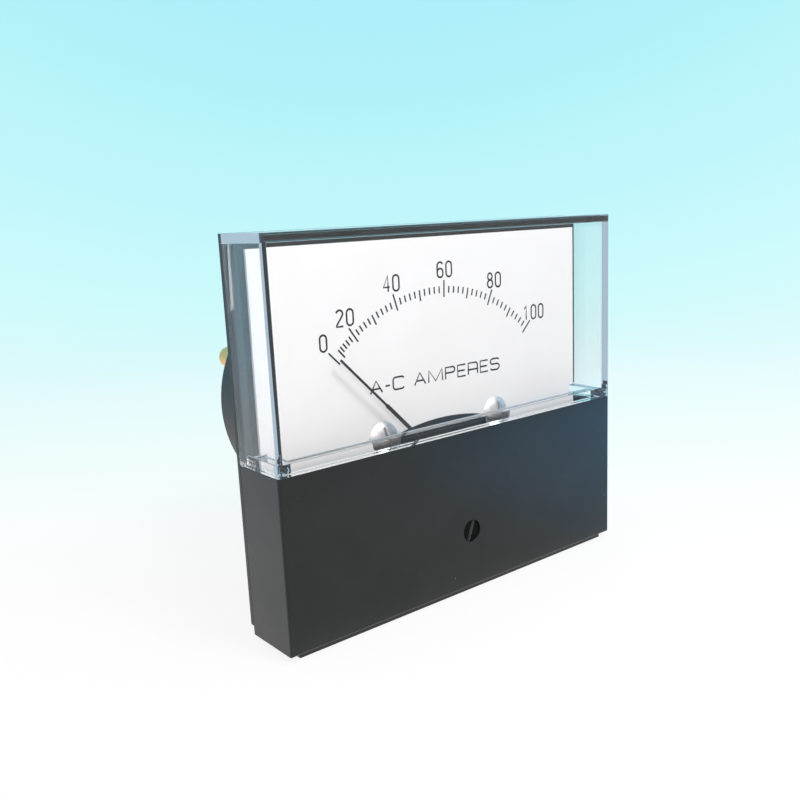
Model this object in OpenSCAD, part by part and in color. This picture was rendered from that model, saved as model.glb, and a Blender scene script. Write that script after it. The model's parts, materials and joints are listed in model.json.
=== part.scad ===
// Panel meter: a rectangular moving-iron ammeter with a clear window cover over a black
// lower cover. The frame has +X to the right, +Y back through the panel and +Z up, with
// its origin on the barrel axis, in the flange's panel face. Clock angles run clockwise
// from straight up as the dial is read, so rotate([0, angle, 0]) turns a part by one.

/* [Case] */
// Width of the case across the front
case_w = 117; // [110:0.5:130]
// Height from the underside of the lower cover to the top of the window
case_h = 97.7; // [94:0.1:110]
// Depth from the front face to the panel face
case_d = 18.5; // [18.2:0.1:22]
// Height of the seam between the lower cover and the window
seam_h = 43.5; // [42.5:0.1:45]
// Height of the barrel axis above the underside of the lower cover
axis_h = 46.2; // [45.5:0.1:48]
// Wall of both covers
cover_wall = 2.2; // [1.8:0.1:2.4]
// Rounding of the front edges
edge_r = 0.8; // [0.4:0.1:1.5]
// Gap between the covers and what they slip over
cover_gap = 0.15; // [0.1:0.05:0.3]

/* [Window foot] */
// Height of the thick rim inside the foot of the window
foot_h = 2.6; // [2:0.1:3.2]
// How far that rim stands in from the wall
foot_in = 3.2; // [2.5:0.1:3.6]
// How far the rim's tongue reaches down inside the lower cover
tongue_h = 1.8; // [1:0.1:2.4]
// Thickness of the tongue
tongue_t = 1.4; // [1:0.1:1.8]

/* [Lower cover] */
// Height of the lip under the lower cover
lip_h = 1.4; // [0.8:0.1:2]
// How far the lip stands back from the front face
lip_back = 0.5; // [0.3:0.1:1]
// How far the lip stops short of each end
lip_end = 3; // [2:0.5:6]
// Height of the zero screw above the underside
zero_h = 15.9; // [15.2:0.1:16.6]
// Sideways place of each cover screw
cover_screw_x = 50; // [47:0.5:51]
// Height of each cover screw above the underside
cover_screw_h = 8.2; // [7.5:0.1:10]
// Radius of the bosses that take the cover screws
cover_boss_r = 3.4; // [3:0.1:4]

/* [Base] */
// Thickness of the flange's outer edge
edge_t = 1.2; // [1:0.1:1.6]
// Thickness of the flange inside the covers
plate_t = 3; // [2.8:0.1:3.2]
// Height of the flange's lower edge above the underside of the lower cover
flange_rise = 2.4; // [2.3:0.1:3.5]
// Outer radius of the barrel
barrel_r = 35; // [34.6:0.1:36]
// Length of the barrel behind the panel face
barrel_len = 52; // [50:0.5:60]
// Wall of the barrel
barrel_wall = 2.5; // [2:0.1:2.7]
// Thickness of the barrel's closed end
barrel_end_t = 3; // [2.5:0.1:4]
// Radius of the columns that carry the movement
column_r = 3.5; // [3.2:0.1:3.6]
// Radius of the circle that the columns stand on
column_pcr = 29.4; // [29.2:0.1:30]

/* [Mounting studs] */
// Radius of the circle that the four mounting studs stand on
mount_pcr = 40.41; // [40.4:0.01:42]
// Radius of a mounting stud
mount_stud_r = 2.08; // [1.9:0.01:2.4]
// Radius of a mounting stud's neck, which is pressed into the flange
mount_neck_r = 2.6; // [2.5:0.05:3]
// Length of a mounting stud behind the panel face
mount_stud_len = 15.9; // [12:0.1:20]
// Radius of a mounting stud's head
mount_head_r = 3.8; // [3.5:0.1:4.2]
// Thickness of a mounting stud's head
mount_head_t = 1.4; // [1.2:0.1:1.6]

/* [Terminals] */
// Distance between the two terminal studs
term_gap = 47.6; // [46.8:0.1:48]
// Height of the terminal studs above the barrel axis
term_z = 12.4; // [12:0.1:13]
// Radius of a terminal stud
term_r = 3.175; // [3:0.025:3.3]
// Length of a terminal stud behind the barrel
term_out = 15; // [14:0.5:20]
// Radius of a terminal stud's inner collar
term_collar_r = 5; // [4.5:0.1:5.2]
// Thickness of that collar
term_collar_t = 2.4; // [2:0.1:3]
// Distance across the flats of a terminal nut
term_nut_af = 11.1; // [10:0.1:11.4]
// Thickness of a terminal nut
term_nut_t = 2.3; // [2:0.1:2.6]
// Outer radius of a flat terminal washer
term_washer_r = 6.6; // [6:0.1:6.8]
// Thickness of a flat terminal washer
term_washer_t = 0.9; // [0.8:0.1:1.2]

/* [Dial] */
// Height of the dial's front face above the panel face
dial_up = 6.9; // [6.8:0.1:7.3]
// Thickness of the dial plate
dial_t = 0.8; // [0.6:0.1:1]
// Drop from the top of the case to the top of the dial
dial_drop = 3.5; // [3:0.1:6]
// Air between each side of the dial and the window's wall
dial_side_air = 1.75; // [1.2:0.05:2.4]
// Air between the dial's lower edge and the front bridge
dial_bridge_air = 1.7; // [1:0.1:2.4]
// Half the width of the opening for the movement
arch_half = 16; // [14:0.5:17.5]
// Radius of the opening's arched top
arch_r = 68; // [60:1:80]
// Height of that arch's crown above the pivot
arch_up = 13.6; // [13:0.1:14]
// Width of the base's ledge, which backs the dial's sides and top
ledge_w = 3.4; // [2.8:0.1:4.5]
// Distance between the two dial screws
dial_screw_gap = 40.6; // [39.6:0.1:42]
// Height of the dial screws above the pivot
dial_screw_up = 11.3; // [11:0.1:12]
// Radius of a dial screw's domed head
dial_head_r = 4.7; // [4:0.1:5]
// Height of that head
dial_head_h = 1.7; // [1.4:0.1:1.9]

/* [Scale] */
// Height of the pointer's pivot above the underside of the lower cover
pivot_h = 32; // [31.8:0.1:32.4]
// Clock angle of the zero mark
scale_start = -44.8; // [-48:0.1:-42]
// Clock angle of the full-scale mark
scale_end = 44.3; // [42:0.1:46]
// Full-scale reading
scale_full = 100; // [100:20:200]
// Reading below which the marks crowd together
scale_knee = 18; // [5:1:25]
// Reading between two neighbouring marks
scale_step = 2; // [2:1:5]
// Radius at the outer end of the long marks
mark_out = 50.7; // [48:0.1:53]
// Length of the long marks
mark_long = 4.5; // [4:0.1:5.5]
// How far the shorter marks stop inside the long ones
mark_step = 1.6; // [1.2:0.1:2]
// Length of the short marks
mark_short = 1.8; // [1.4:0.1:2.2]
// Width of a mark
mark_w = 0.43; // [0.25:0.01:0.55]
// Thickness of the printed ink
ink_t = 0.05; // [0.04:0.01:0.1]

/* [Pointer and staff] */
// Air between the dial's face and the pointer
pointer_up = 2.4; // [2.2:0.1:2.6]
// Thickness of the pointer
pointer_t = 0.4; // [0.3:0.05:0.5]
// Length of the pointer from its pivot
pointer_len = 48.3; // [45:0.1:49]
// Length of the pointer's wide inner part
pointer_inner = 29.3; // [26:0.1:32]
// Width of the inner part
pointer_w = 0.95; // [0.8:0.05:1.2]
// Width of the slim outer part
pointer_tip_w = 0.55; // [0.4:0.05:0.7]
// Radius of the pointer's hub
hub_r = 2.2; // [1.8:0.1:2.6]
// Thickness of the hub
hub_t = 1.4; // [1.2:0.1:1.6]
// Radius of the staff
staff_r = 0.7; // [0.6:0.05:0.8]
// Radius of the pivots at its two ends
tip_r = 0.3; // [0.25:0.01:0.35]
// Length of each pivot
tip_len = 0.6; // [0.5:0.05:0.7]
// Running clearance round each pivot
tip_gap = 0.05; // [0.02:0.01:0.08]
// Travel of the pointer below zero
travel_under = 3; // [1:0.5:4]
// Travel of the pointer above zero
travel_over = 92; // [91:0.5:94]
// Length of each balance arm from the staff
arm_len = 11; // [10:0.5:12]
// Radius of a balance arm
arm_r = 0.4; // [0.3:0.05:0.5]
// Radius of a balance weight
weight_r = 1.5; // [1.2:0.05:1.6]
// Length of the tail weight, across from the pointer
tail_weight_len = 4.75; // [2:0.05:6]
// Length of each of the two side weights
side_weight_len = 1.4; // [0.8:0.05:3]

/* [Bridge and zero setting] */
// Thickness of the front bridge
bridge_t = 1.6; // [1.4:0.1:1.7]
// Height of the bridge's bar
bridge_w = 7; // [6:0.1:7.4]
// Distance between the bridge's two screws
bridge_gap = 37; // [36:0.5:38]
// Width of each of the bridge's legs
leg_w = 6; // [5:0.1:6.4]
// Radius of a jewel screw
jewel_r = 1.6; // [1.4:0.1:1.8]
// Distance across the flats of a jewel screw's lock nut
jewel_nut_af = 5; // [4.5:0.1:5.4]
// Thickness of that nut
jewel_nut_t = 0.7; // [0.6:0.05:0.8]
// Thickness of the zero lever
lever_t = 0.5; // [0.4:0.05:0.6]
// Width of the zero lever's arm
lever_w = 2.6; // [2.2:0.1:3]
// Radius of the zero screw
zero_r = 2.95; // [2.7:0.05:3.2]
// Running clearance round the zero screw
zero_gap = 0.05; // [0.02:0.01:0.08]
// How far the zero screw's head lies below the front face
zero_sunk = 0.5; // [0.3:0.1:0.8]
// Distance of the zero screw's pin from its axis
pin_off = 1.2; // [1:0.05:1.3]
// Radius of that pin
pin_r = 0.5; // [0.4:0.05:0.6]
// Clearance each side of the pin in the lever's fork
fork_gap = 0.12; // [0.1:0.01:0.2]
// Radius of the hairspring's outer turn
spring_out = 6; // [5.4:0.1:6.4]
// Number of the hairspring's turns
spring_turns = 5; // [3:1:6]
// Thickness of the hairspring's strip
spring_t = 0.12; // [0.1:0.01:0.16]
// Width of the hairspring's strip
spring_w = 0.6; // [0.5:0.05:0.7]

/* [Coil and vanes] */
// Thickness of the movement's frame
frame_t = 1.5; // [1.3:0.1:1.7]
// Bore radius of the coil's bobbin
bobbin_bore = 8; // [7.8:0.1:8.2]
// Wall of the bobbin
bobbin_wall = 1.4; // [1:0.1:1.6]
// Radius of the bobbin's flanges
bobbin_flange_r = 15; // [14.6:0.1:15.2]
// Thickness of the bobbin's flanges
bobbin_flange_t = 1.5; // [1.2:0.1:1.8]
// Width of the copper strap that makes the coil
strap_w = 5.6; // [5:0.1:6]
// Thickness of that strap
strap_t = 2.4; // [2:0.1:2.6]
// Air between two turns of the strap
strap_air = 0.8; // [0.6:0.1:1]
// Full turns of the coil, to which the leads add half a turn
coil_turns = 2; // [1:1:3]
// Thickness of the two iron vanes
vane_t = 0.4; // [0.3:0.05:0.5]
// Air between the two iron vanes
vane_air = 0.6; // [0.5:0.05:0.7]
// Length of the moving iron vane along the staff
vane_len = 13; // [10:0.5:16]
// Angle that the moving iron vane spans
vane_span = 44; // [36:2:70]
// Angle that the fixed iron vane spans
fixed_span = 90; // [60:5:110]
// Width and thickness of the webs that carry the moving vane
web_w = 1.2; // [1:0.1:2]

/* [Air damper] */
// Outer radius of the damping chamber
damper_r = 14.4; // [13.8:0.1:14.8]
// Wall of the damping chamber
damper_wall = 1; // [0.8:0.1:1.2]
// Depth of the damping chamber
damper_depth = 7; // [6:0.1:8]
// Thickness of the chamber's cover
damper_cover_t = 1.5; // [1.3:0.1:1.8]
// Thickness of the aluminium paddle
paddle_t = 0.3; // [0.2:0.05:0.4]
// Air round the paddle
paddle_air = 0.5; // [0.4:0.05:0.6]

/* [Small screws] */
// Radius of the four screws that hold the movement
movement_screw_r = 1.15; // [1:0.05:1.3]
// Length of those screws in the columns
movement_screw_len = 8; // [6:0.5:12]
// Radius of the bridge's two screws
bridge_screw_r = 1; // [0.8:0.05:1.1]
// Radius of the damper's two screws
damper_screw_r = 1; // [0.8:0.05:1.1]
// Radius of the dial's two screws
dial_screw_r = 1.1; // [0.9:0.05:1.2]
// Radius of the two cover screws
cover_screw_r = 1.4; // [1.2:0.05:1.6]
// Length of the cover screws from their heads' faces
cover_screw_len = 7.5; // [6:0.5:10]

/* [Hidden] */

$fn = 48;
bite = 0.01;                // overlap of shapes that are one solid
cut = 1;                    // how far a cutting shape runs past a face
fit_gap = 0.1;              // air round a fixed screw in its hole

half_w = case_w / 2;
bottom_z = -axis_h;
seam_z = bottom_z + seam_h;
top_z = bottom_z + case_h;
front_y = -case_d;
inside_y = front_y + cover_wall;
plate_y = -plate_t;
inner_half = half_w - cover_wall;
pad_half = inner_half - cover_gap;
pad_top_z = top_z - cover_wall - cover_gap;
bore_r = barrel_r - barrel_wall;
end_y = barrel_len - barrel_end_t;
column_angles = [46, 134, 230, 310];

head_wide = 1.9;            // a screw head's radius and thickness, beside its shank's radius
head_deep = 1.05;
cover_head_r = head_wide * cover_screw_r;
cover_head_t = 0.93 * cover_screw_r;
cover_head_y = -0.2;
screw_spare = 2;            // how far a screw's hole runs past its tip
cover_screw_z = bottom_z + cover_screw_h;

mount_x = mount_pcr * cos(45);
mount_at = [for (x = [-1, 1], z = [-1, 1]) [x * mount_x, z * mount_x]];

pivot_z = bottom_z + pivot_h;
zero_z = bottom_z + zero_h;

dial_y = -dial_up;
dial_back_y = dial_y + dial_t;
dial_half = inner_half - dial_side_air;
dial_low_half = inner_half - foot_in - 0.3;
dial_top_z = top_z - dial_drop;
dial_low_z = pivot_z + bridge_w / 2 + dial_bridge_air;
dial_step_z = seam_z + foot_h + 0.3;
dial_screw_x = dial_screw_gap / 2;
dial_screw_z = pivot_z + dial_screw_up;
dial_post_r = 2.4;
dial_slot_w = 0.8;

frame_y = plate_y - frame_t;
frame_r = bore_r + 1.5;

pointer_back_y = dial_y - pointer_up;
pointer_y = pointer_back_y - pointer_t;
hub_back_y = pointer_back_y + 0.4;
hub_y = hub_back_y - hub_t;
arm_y = hub_back_y + arm_r + 0.1;
spring_back_y = hub_y - 0.4;
spring_y = spring_back_y - spring_w;
bridge_back_y = spring_y - 0.4;
bridge_y = bridge_back_y - bridge_t;
lever_back_y = bridge_y - 0.05;
lever_y = lever_back_y - lever_t;
nut_y = lever_y - 0.05 - jewel_nut_t;
bridge_screw_x = bridge_gap / 2;
collet_r = 1.2;

bobbin_y = plate_y;
turns = coil_turns + 0.5;
strap_pitch = strap_w + strap_air;
winding_len = turns * strap_pitch + strap_w + 0.4;
wind_y = bobbin_y + bobbin_flange_t;
bobbin_end_y = wind_y + winding_len + bobbin_flange_t;
strap_r = bobbin_bore + bobbin_wall + 0.1;
ear_half_w = 2.6;
ear_reach = bridge_screw_x + 2.6;
first_turn_y = wind_y + 0.2 + strap_w / 2;
last_turn_y = first_turn_y + turns * strap_pitch;

damper_y = bobbin_end_y;
damper_end_y = damper_y + damper_depth;
damper_back_y = damper_end_y + damper_cover_t;
damper_ear_x = damper_r + 2.2;
damper_boss_r = 3;
damper_boss_t = 2;
paddle_len = damper_r - damper_wall - paddle_air;
// The paddle hangs across from the pointer.
paddle_angle = scale_start + 180;

// The jewels take the staff's two pivots, with a little end play.
end_play = 0.1;
staff_front_y = bridge_back_y + 0.3;
staff_back_y = damper_end_y - 0.3;
jewel_front_y = staff_front_y - end_play;
jewel_back_y = staff_back_y + end_play;
jewel_slot = 0.5;

term_x = term_gap / 2;
term_hole_r = term_r + 0.125;
foot_front_y = end_y - strap_t;
term_nut_y = barrel_len + term_washer_t;

// A reading's clock angle: the marks crowd near zero and even out above the knee.
function crowd(v) = sqrt(v * v + scale_knee * scale_knee) - scale_knee;
function reading_angle(v) =
    scale_start + (scale_end - scale_start) * crowd(v) / crowd(scale_full);

// A round bar along Y.
module rod(r, y0, y1, x = 0, z = 0) {
    translate([x, y0, z]) rotate([-90, 0, 0]) cylinder(r = r, h = y1 - y0);
}

// An outline drawn as seen from the front, made solid from y0 to y1.
module plate(y0, y1) {
    translate([0, y1, 0]) rotate([90, 0, 0]) linear_extrude(y1 - y0) children();
}

// A six-sided nut along Y, with a hole for its screw.
module nut(flats, hole_r, y0, y1, x = 0, z = 0) {
    difference() {
        translate([x, y0, z]) rotate([-90, 0, 0])
            cylinder(r = flats / sqrt(3), h = y1 - y0, $fn = 6);
        rod(hole_r, y0 - cut, y1 + cut, x, z);
    }
}

// A box given by its two corners.
module block(low, high) {
    translate(low) cube(high - low);
}

// A screw driven in from the front: a slotted cheese head seated at seat_y, and a shank
// of radius r back to tip_y.
module cheese_screw(x, z, r, seat_y, tip_y) {
    head_r = head_wide * r;
    head_y = seat_y - head_deep * r;
    difference() {
        rod(head_r, head_y, seat_y, x, z);
        block([x - head_r - cut, head_y - cut, z - 0.22 * r],
            [x + head_r + cut, (head_y + seat_y) / 2, z + 0.22 * r]);
    }
    rod(r, seat_y - bite, tip_y, x, z);
}

// The body that both covers are cut from: its upright front edges are rounded by the
// plan, and its level front edge by the side profile.
module case_body(z0, z1, round_top, round_bottom) {
    intersection() {
        translate([0, 0, z0]) linear_extrude(z1 - z0) union() {
            translate([-half_w, front_y + edge_r]) square([case_w, case_d - edge_t - edge_r]);
            translate([edge_r - half_w, front_y])
                square([case_w - 2 * edge_r, case_d - edge_t]);
            for (x = [-1, 1])
                translate([x * (half_w - edge_r), front_y + edge_r]) circle(edge_r);
        }
        translate([-half_w, 0, 0]) rotate([90, 0, 90]) linear_extrude(case_w) union() {
            translate([front_y + edge_r, z0]) square([case_d - edge_t - edge_r, z1 - z0]);
            translate([front_y, z0 + round_bottom])
                square([case_d - edge_t, z1 - z0 - round_top - round_bottom]);
            if (round_top > 0) translate([front_y + edge_r, z1 - edge_r]) circle(edge_r);
            if (round_bottom > 0) translate([front_y + edge_r, z0 + edge_r]) circle(edge_r);
        }
    }
}

// Base: the flange, the dial's ledge, the round barrel behind and the columns inside it,
// in one moulding.
module base() {
    color([0.10, 0.11, 0.12]) difference() {
        union() {
            block([-half_w, -edge_t, bottom_z + flange_rise], [half_w, 0, top_z]);
            block([-pad_half, plate_y, bottom_z + cover_wall + cover_gap],
                [pad_half, 0, pad_top_z]);
            rod(barrel_r, -edge_t, barrel_len, $fn = 96);
            plate(dial_back_y, plate_y + bite) difference() {
                translate([-pad_half, dial_step_z]) square([2 * pad_half, pad_top_z - dial_step_z]);
                translate([ledge_w - pad_half, dial_step_z - cut])
                    square([2 * (pad_half - ledge_w), pad_top_z - ledge_w - dial_step_z + cut]);
            }
        }
        difference() {
            rod(bore_r, plate_y - cut, end_y, $fn = 96);
            for (a = column_angles)
                rod(column_r, plate_y, end_y + cut, column_pcr * cos(a), column_pcr * sin(a));
        }
        for (a = column_angles)
            rod(movement_screw_r + 0.05, plate_y - cut, plate_y + movement_screw_len + screw_spare,
                column_pcr * cos(a), column_pcr * sin(a));
        for (p = mount_at) {
            rod(mount_neck_r + 0.02, plate_y - cut, cut, p.x, p.y);
            rod(mount_head_r + 0.05, plate_y - cut, plate_y + mount_head_t, p.x, p.y);
        }
        for (x = [-1, 1]) {
            rod(cover_screw_r + fit_gap, plate_y - cut, cut, x * cover_screw_x, cover_screw_z);
            rod(cover_head_r + fit_gap, cover_head_y - cover_head_t, cut,
                x * cover_screw_x, cover_screw_z);
            rod(term_hole_r, end_y - cut, barrel_len + cut, x * term_x, term_z);
        }
    }
}

// Mounting studs: flat-headed, with a wider neck that fills the hole in the flange.
module mounting_studs() {
    color([0.72, 0.72, 0.70]) for (p = mount_at) {
        rod(mount_head_r, plate_y, plate_y + mount_head_t, p.x, p.y);
        rod(mount_neck_r, plate_y + mount_head_t - bite, 0, p.x, p.y);
        rod(mount_stud_r, -bite, mount_stud_len, p.x, p.y);
    }
}

// Window cover: clear front, sides and top, with a thick rim round its foot and a tongue
// that drops inside the lower cover.
module window_cover() {
    rim = cover_wall + foot_in;
    tongue_out = cover_wall + cover_gap;
    tongue_in = tongue_out + tongue_t;
    rim_back_y = plate_y - cover_gap;
    color([0.80, 0.93, 0.97, 0.35]) union() {
        difference() {
            case_body(seam_z, top_z, edge_r, 0);
            block([-inner_half, inside_y, seam_z - cut], [inner_half, cut, top_z - cover_wall]);
        }
        difference() {
            block([bite - inner_half - 0.5, inside_y - 0.5, seam_z],
                [inner_half + 0.5 - bite, rim_back_y, seam_z + foot_h]);
            block([rim - half_w, front_y + rim, seam_z - cut],
                [half_w - rim, cut, seam_z + foot_h + cut]);
        }
        difference() {
            block([tongue_out - half_w, front_y + tongue_out, seam_z - tongue_h],
                [half_w - tongue_out, rim_back_y, seam_z + bite]);
            block([tongue_in - half_w, front_y + tongue_in, seam_z - tongue_h - cut],
                [half_w - tongue_in, cut, seam_z + cut]);
        }
    }
}

// Lower cover: black front, sides and underside, open above and behind.
module lower_cover() {
    collar_r = zero_r + zero_gap + 1.4;
    color([0.13, 0.15, 0.16]) difference() {
        union() {
            difference() {
                case_body(bottom_z, seam_z, 0, edge_r);
                block([-inner_half, inside_y, bottom_z + cover_wall],
                    [inner_half, cut, seam_z + cut]);
            }
            for (x = [-1, 1])
                rod(cover_boss_r, inside_y - bite, plate_y, x * cover_screw_x, cover_screw_z);
            block([lip_end - half_w, front_y + edge_r + lip_back, bottom_z - lip_h],
                [half_w - lip_end, -edge_t - lip_back, bottom_z + bite]);
            rod(collar_r, inside_y - bite, inside_y + 0.3, 0, zero_z);
        }
        rod(zero_r + zero_gap, front_y - cut, inside_y + cut, 0, zero_z);
        for (x = [-1, 1])
            rod(cover_screw_r, cover_head_y - cover_head_t - cover_screw_len - screw_spare,
                plate_y + cut, x * cover_screw_x, cover_screw_z);
    }
}

// Cover screws: driven from behind the flange into the lower cover's bosses.
module cover_screws() {
    color([0.55, 0.55, 0.56]) for (x = [-1, 1]) difference() {
        union() {
            rod(cover_head_r, cover_head_y - cover_head_t, cover_head_y,
                x * cover_screw_x, cover_screw_z);
            rod(cover_screw_r - 0.02, cover_head_y - cover_head_t - cover_screw_len,
                cover_head_y - cover_head_t + bite, x * cover_screw_x, cover_screw_z);
        }
        for (turn = [0, 90]) translate([x * cover_screw_x, 0, cover_screw_z])
            rotate([0, turn, 0])
                block([-0.6 * cover_head_r, cover_head_y - cover_head_t / 2, -0.3],
                    [0.6 * cover_head_r, cut, 0.3]);
    }
}

// Zero screw: turned with a screwdriver from the front. The collar behind the wall keeps
// it in, and its off-centre pin works the zero lever.
module zero_adjust_screw() {
    collar_y = inside_y + 0.3 + 0.05;
    pin_end_y = lever_back_y - 0.02;
    color([0.09, 0.10, 0.11]) translate([0, 0, zero_z]) {
        difference() {
            rod(zero_r, front_y + zero_sunk, collar_y + bite);
            rotate([0, 20, 0]) block([-0.5, front_y - cut, -cut - zero_r],
                [0.5, front_y + zero_sunk + 1.1, zero_r + cut]);
        }
        rod(zero_r + 0.6, collar_y, collar_y + 0.5);
        rod(pin_r, collar_y + 0.5 - bite, pin_end_y, 0, -pin_off);
    }
}

// Dial plate: sheet metal with an arched opening over the movement. Its lower corners
// are cut back to clear the window's rim.
module dial_plate() {
    arch_z = pivot_z + arch_up - arch_r;
    color([0.97, 0.96, 0.95]) difference() {
        plate(dial_y, dial_back_y) difference() {
            union() {
                translate([-dial_half, dial_step_z])
                    square([2 * dial_half, dial_top_z - dial_step_z]);
                translate([-dial_low_half, dial_low_z])
                    square([2 * dial_low_half, dial_step_z - dial_low_z + bite]);
            }
            intersection() {
                translate([0, arch_z]) circle(arch_r, $fn = 180);
                translate([-arch_half, dial_low_z - cut])
                    square([2 * arch_half, pivot_z + arch_up - dial_low_z + 2 * cut]);
            }
        }
        for (x = [-1, 1])
            rod(dial_screw_r + fit_gap, dial_y - cut, dial_back_y + cut,
                x * dial_screw_x, dial_screw_z);
    }
}

// Scale marks: one for every step from the first tenth up, and one at zero.
module scale_marks() {
    short_in = mark_out - mark_step - mark_short;
    long_in = mark_out - mark_long;
    readings = concat([0], [for (v = [scale_full / 10 : scale_step : scale_full]) v]);
    color([0.10, 0.10, 0.11]) translate([0, 0, pivot_z]) for (v = readings) {
        is_long = v % (scale_full / 5) == 0;
        is_mid = v % (scale_full / 10) == 0;
        inner = is_mid ? long_in : short_in;
        outer = is_long ? mark_out : mark_out - mark_step;
        rotate([0, reading_angle(v), 0])
            block([-mark_w / 2, dial_y - ink_t, inner], [mark_w / 2, dial_y, outer]);
    }
}

// Dial screws: plated, with domed and slotted heads.
module dial_screws() {
    dome_r = (dial_head_r * dial_head_r + dial_head_h * dial_head_h) / (2 * dial_head_h);
    color([0.80, 0.80, 0.80]) for (x = [-1, 1])
        translate([x * dial_screw_x, 0, dial_screw_z]) {
            difference() {
                intersection() {
                    translate([0, dial_y - dial_head_h + dome_r, 0]) sphere(dome_r);
                    rod(dial_head_r, dial_y - dial_head_h, dial_y);
                }
                rotate([0, 5 * x, 0])
                    block([-dial_slot_w / 2, dial_y - dial_head_h - cut, -dial_head_r - cut],
                        [dial_slot_w / 2, dial_y - dial_head_h * 0.5, dial_head_r + cut]);
            }
            rod(dial_screw_r, dial_y - bite, plate_y - 0.2);
        }
}

// Movement frame: a round moulded plate over the barrel's mouth, with two dial posts.
module movement_frame() {
    color([0.12, 0.12, 0.13]) difference() {
        union() {
            rod(frame_r, frame_y, plate_y, $fn = 96);
            for (x = [-1, 1])
                rod(dial_post_r, dial_back_y, frame_y + bite, x * dial_screw_x, dial_screw_z);
        }
        rod(bobbin_bore, frame_y - cut, plate_y + cut, 0, pivot_z);
        for (x = [-1, 1]) {
            rod(dial_screw_r + 0.02, dial_back_y - cut, plate_y + cut,
                x * dial_screw_x, dial_screw_z);
            rod(bridge_screw_r + fit_gap, frame_y - cut, plate_y + cut,
                x * bridge_screw_x, pivot_z);
        }
        for (a = column_angles)
            rod(movement_screw_r + 0.35, frame_y - cut, plate_y + cut,
                column_pcr * cos(a), column_pcr * sin(a));
    }
}

// Movement screws: hold the frame down on the base's four columns.
module movement_screws() {
    color([0.70, 0.68, 0.62]) for (a = column_angles)
        cheese_screw(column_pcr * cos(a), column_pcr * sin(a), movement_screw_r, frame_y,
            plate_y + movement_screw_len);
}

// Front bridge: a bar across the movement on two legs. Its middle holds the jewel screw.
module front_bridge() {
    color([0.78, 0.66, 0.36]) translate([0, 0, pivot_z]) difference() {
        union() {
            block([-bridge_screw_x - leg_w / 2, bridge_y, -bridge_w / 2],
                [bridge_screw_x + leg_w / 2, bridge_back_y, bridge_w / 2]);
            for (x = [-1, 1])
                block([x * bridge_screw_x - leg_w / 2, bridge_back_y - bite, -bridge_w / 2],
                    [x * bridge_screw_x + leg_w / 2, frame_y, bridge_w / 2]);
        }
        rod(jewel_r + 0.02, bridge_y - cut, bridge_back_y + cut);
        for (x = [-1, 1])
            rod(bridge_screw_r + fit_gap, bridge_y - cut, frame_y + cut, x * bridge_screw_x);
    }
}

// Bridge screws: clamp the bridge, the frame and the bobbin together.
module bridge_screws() {
    color([0.70, 0.68, 0.62]) for (x = [-1, 1])
        cheese_screw(x * bridge_screw_x, pivot_z, bridge_screw_r, bridge_y, wind_y - 0.1);
}

// A jewel screw from its slotted end to the end that takes a pivot, both given along Y.
module jewel_screw(slot_y, jewel_y) {
    way = jewel_y > slot_y ? 1 : -1;
    low = min(slot_y, jewel_y);
    high = max(slot_y, jewel_y);
    hole = [jewel_y - way * (tip_len + 0.15), jewel_y + way * cut];
    slot = [slot_y - way * cut, slot_y + way * jewel_slot];
    difference() {
        rod(jewel_r, low, high);
        rod(tip_r + tip_gap, min(hole), max(hole));
        block([-jewel_r - cut, min(slot), -0.2], [jewel_r + cut, max(slot), 0.2]);
    }
}

// Front jewel screw: through the bridge, the zero lever and the lock nut.
module front_jewel_screw() {
    color([0.80, 0.66, 0.34]) translate([0, 0, pivot_z])
        jewel_screw(nut_y - 0.2, jewel_front_y);
}

// Front lock nut: clamps the jewel screw and keeps the zero lever on it.
module front_lock_nut() {
    color([0.80, 0.66, 0.34]) nut(jewel_nut_af, jewel_r + 0.02, nut_y, nut_y + jewel_nut_t,
        0, pivot_z);
}

// Zero lever: turns on the jewel screw, with a fork for the zero screw's pin below and a
// post that holds the hairspring's outer end.
module zero_lever() {
    pin_drop = pivot_z - zero_z + pin_off;
    fork_half = pin_r + fork_gap;
    fork_w = fork_half + 0.9;
    post_z = -spring_out - spring_t / 2;
    color([0.82, 0.68, 0.38]) translate([0, 0, pivot_z]) {
        plate(lever_y, lever_back_y) difference() {
            union() {
                circle(jewel_r + 1.2);
                translate([-lever_w / 2, -pin_drop + 1.6]) square([lever_w, pin_drop - 1.6]);
                translate([-fork_w, -pin_drop - 1.4]) square([2 * fork_w, 4]);
            }
            circle(jewel_r + 0.05);
            translate([-fork_half, -pin_drop - 3]) square([2 * fork_half, 4]);
        }
        block([-0.4, lever_back_y - bite, post_z - 0.8], [0.4, spring_back_y, post_z]);
    }
}

// Hairspring: a flat spiral strip from its inner end beside the collet to the lever's post.
module hairspring() {
    inner = collet_r + 0.35 + spring_t / 2;
    steps = spring_turns * 24;
    grow = (spring_out - inner) / steps;
    function spiral(i) =
        let (a = 180 - (steps - i) * 15, r = inner + grow * i)
        [for (c = [[-1, 0], [1, 0], [1, 1], [-1, 1]])
            [(r + c.x * spring_t / 2) * sin(a), spring_y + c.y * spring_w,
                (r + c.x * spring_t / 2) * cos(a)]];
    color([0.75, 0.62, 0.35]) translate([0, 0, pivot_z])
        swept([for (i = [0 : steps]) spiral(i)]);
}

// A solid through a row of four-cornered sections, closed at both ends.
module swept(rings) {
    last = len(rings) - 1;
    points = [for (ring = rings, p = ring) p];
    sides = [for (i = [0 : last - 1], k = [0 : 3])
        let (a = i * 4 + k, b = i * 4 + (k + 1) % 4)
        each [[a, b, b + 4], [a, b + 4, a + 4]]];
    polyhedron(points, concat([[3, 2, 1, 0]], sides,
        [[for (k = [0 : 3]) last * 4 + k]]));
}

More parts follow.
